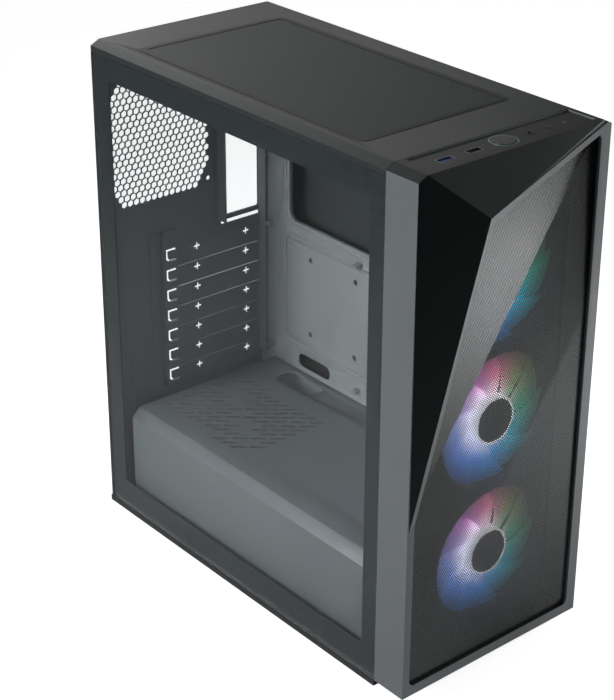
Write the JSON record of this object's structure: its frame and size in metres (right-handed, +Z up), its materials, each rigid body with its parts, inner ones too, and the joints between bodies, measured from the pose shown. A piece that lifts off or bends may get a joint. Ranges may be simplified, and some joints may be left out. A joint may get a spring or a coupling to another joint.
{
  "type": "desktop computer tower",
  "caption": "Mid-tower computer case with a faceted mesh front, three lit fans, a glass side, a top dust filter and an empty bay for a board and power supply.",
  "frame": {"origin": "middle of the footprint, on the surface under the feet", "axes": "+Z up, -Y out of the mesh front, -X out of the glass side"},
  "size_m": [0.198, 0.4324, 0.4608],
  "materials": {
    "grey_steel": "satin powder coat",
    "black_paint": "satin powder coat",
    "black_plastic": "fine texture",
    "rubber": "matt",
    "lit_plastic": "translucent, lit from the hub",
    "satin_plastic": "satin moulding with gloss facets",
    "mesh_metal": "perforated sheet",
    "gloss_black": "polished",
    "plated_steel": "bright nickel",
    "socket_blue": "moulded",
    "light_ring": "frosted, lit",
    "circuit_board": "solder mask",
    "smoked_glass": "clear tempered glass with a black printed border"
  },
  "bodies": {
    "chassis": {"base_pan": "black_paint", "rear_panel": "grey_steel", "slot_cover_1": "grey_steel", "slot_cover_2": "grey_steel", "slot_cover_3": "grey_steel", "slot_cover_4": "grey_steel", "slot_cover_5": "grey_steel", "slot_cover_6": "grey_steel", "slot_cover_7": "grey_steel", "slot_bracket": "grey_steel", "motherboard_tray": "grey_steel", "standoff_1": "plated_steel", "standoff_2": "plated_steel", "standoff_3": "plated_steel", "standoff_4": "plated_steel", "standoff_5": "plated_steel", "standoff_6": "plated_steel", "standoff_7": "plated_steel", "standoff_8": "plated_steel", "standoff_9": "plated_steel", "psu_shroud": "grey_steel", "front_wall": "grey_steel", "drive_cage": "grey_steel", "top_panel": "black_paint", "foot_front_left": "black_plastic", "foot_front_right": "black_plastic", "foot_rear_left": "black_plastic", "foot_rear_right": "black_plastic", "foot_pad_front_left": "rubber", "foot_pad_front_right": "rubber", "foot_pad_rear_left": "rubber", "foot_pad_rear_right": "rubber", "fan_frame_lower": "black_plastic", "fan_frame_middle": "black_plastic", "fan_frame_upper": "black_plastic"},
    "front_panel": {"front_bezel": "satin_plastic", "front_mesh": "mesh_metal", "io_strip": "gloss_black", "usb3_socket": "socket_blue", "usb2_socket": "plated_steel", "audio_jack": "black_plastic", "power_ring": "light_ring", "led_lens": "light_ring", "io_board": "circuit_board"},
    "power_button": {"power_button": "gloss_black"},
    "reset_button": {"reset_button": "gloss_black"},
    "top_filter": {"top_filter": "black_plastic"},
    "bottom_filter": {"bottom_filter": "black_plastic"},
    "glass_panel": {"side_glass": "smoked_glass", "glass_frame": "black_paint"},
    "right_panel": {"right_panel": "black_paint"},
    "glass_thumbscrew_upper": {"glass_thumbscrew_upper": "black_paint"},
    "glass_thumbscrew_lower": {"glass_thumbscrew_lower": "black_paint"},
    "panel_thumbscrew_upper": {"panel_thumbscrew_upper": "black_paint"},
    "panel_thumbscrew_lower": {"panel_thumbscrew_lower": "black_paint"},
    "fan_rotor_lower": {"fan_rotor_lower": "lit_plastic"},
    "fan_rotor_middle": {"fan_rotor_middle": "lit_plastic"},
    "fan_rotor_upper": {"fan_rotor_upper": "lit_plastic"}
  },
  "joints": [
    {"name": "front_panel_pull", "type": "slide", "parent": "chassis", "child": "front_panel", "axis": [0, -1, 0], "range_m": [0, 0.06]},
    {"name": "power_button_press", "type": "slide", "parent": "front_panel", "child": "power_button", "axis": [0, 0, -1], "range_m": [0, 0.0015], "stiffness_N_per_m": 800, "springref_m": -0.001},
    {"name": "reset_button_press", "type": "slide", "parent": "front_panel", "child": "reset_button", "axis": [0, 0, -1], "range_m": [0, 0.0008], "stiffness_N_per_m": 800, "springref_m": -0.001},
    {"name": "top_filter_lift", "type": "slide", "parent": "chassis", "child": "top_filter", "axis": [0, 0, 1], "range_m": [0, 0.05]},
    {"name": "bottom_filter_slide", "type": "slide", "parent": "chassis", "child": "bottom_filter", "axis": [0, 1, 0], "range_m": [0, 0.145]},
    {"name": "glass_panel_slide", "type": "slide", "parent": "chassis", "child": "glass_panel", "axis": [0, 1, 0], "range_m": [0, 0.02]},
    {"name": "right_panel_slide", "type": "slide", "parent": "chassis", "child": "right_panel", "axis": [0, 1, 0], "range_m": [0, 0.02]},
    {"name": "glass_thumbscrew_upper_turn", "type": "hinge", "parent": "glass_panel", "child": "glass_thumbscrew_upper", "pos_m": [-0.0885, 0.20785, 0.436], "axis": [0, 1, 0], "continuous": true},
    {"name": "glass_thumbscrew_lower_turn", "type": "hinge", "parent": "glass_panel", "child": "glass_thumbscrew_lower", "pos_m": [-0.0885, 0.20785, 0.038], "axis": [0, 1, 0], "continuous": true},
    {"name": "panel_thumbscrew_upper_turn", "type": "hinge", "parent": "right_panel", "child": "panel_thumbscrew_upper", "pos_m": [0.088, 0.20785, 0.436], "axis": [0, 1, 0], "continuous": true},
    {"name": "panel_thumbscrew_lower_turn", "type": "hinge", "parent": "right_panel", "child": "panel_thumbscrew_lower", "pos_m": [0.088, 0.20785, 0.038], "axis": [0, 1, 0], "continuous": true},
    {"name": "fan_rotor_lower_spin", "type": "hinge", "parent": "chassis", "child": "fan_rotor_lower", "pos_m": [0, -0.17615, 0.1115], "axis": [0, 1, 0], "continuous": true},
    {"name": "fan_rotor_middle_spin", "type": "hinge", "parent": "chassis", "child": "fan_rotor_middle", "pos_m": [0, -0.17615, 0.2315], "axis": [0, 1, 0], "continuous": true},
    {"name": "fan_rotor_upper_spin", "type": "hinge", "parent": "chassis", "child": "fan_rotor_upper", "pos_m": [0, -0.17615, 0.3515], "axis": [0, 1, 0], "continuous": true}
  ]
}
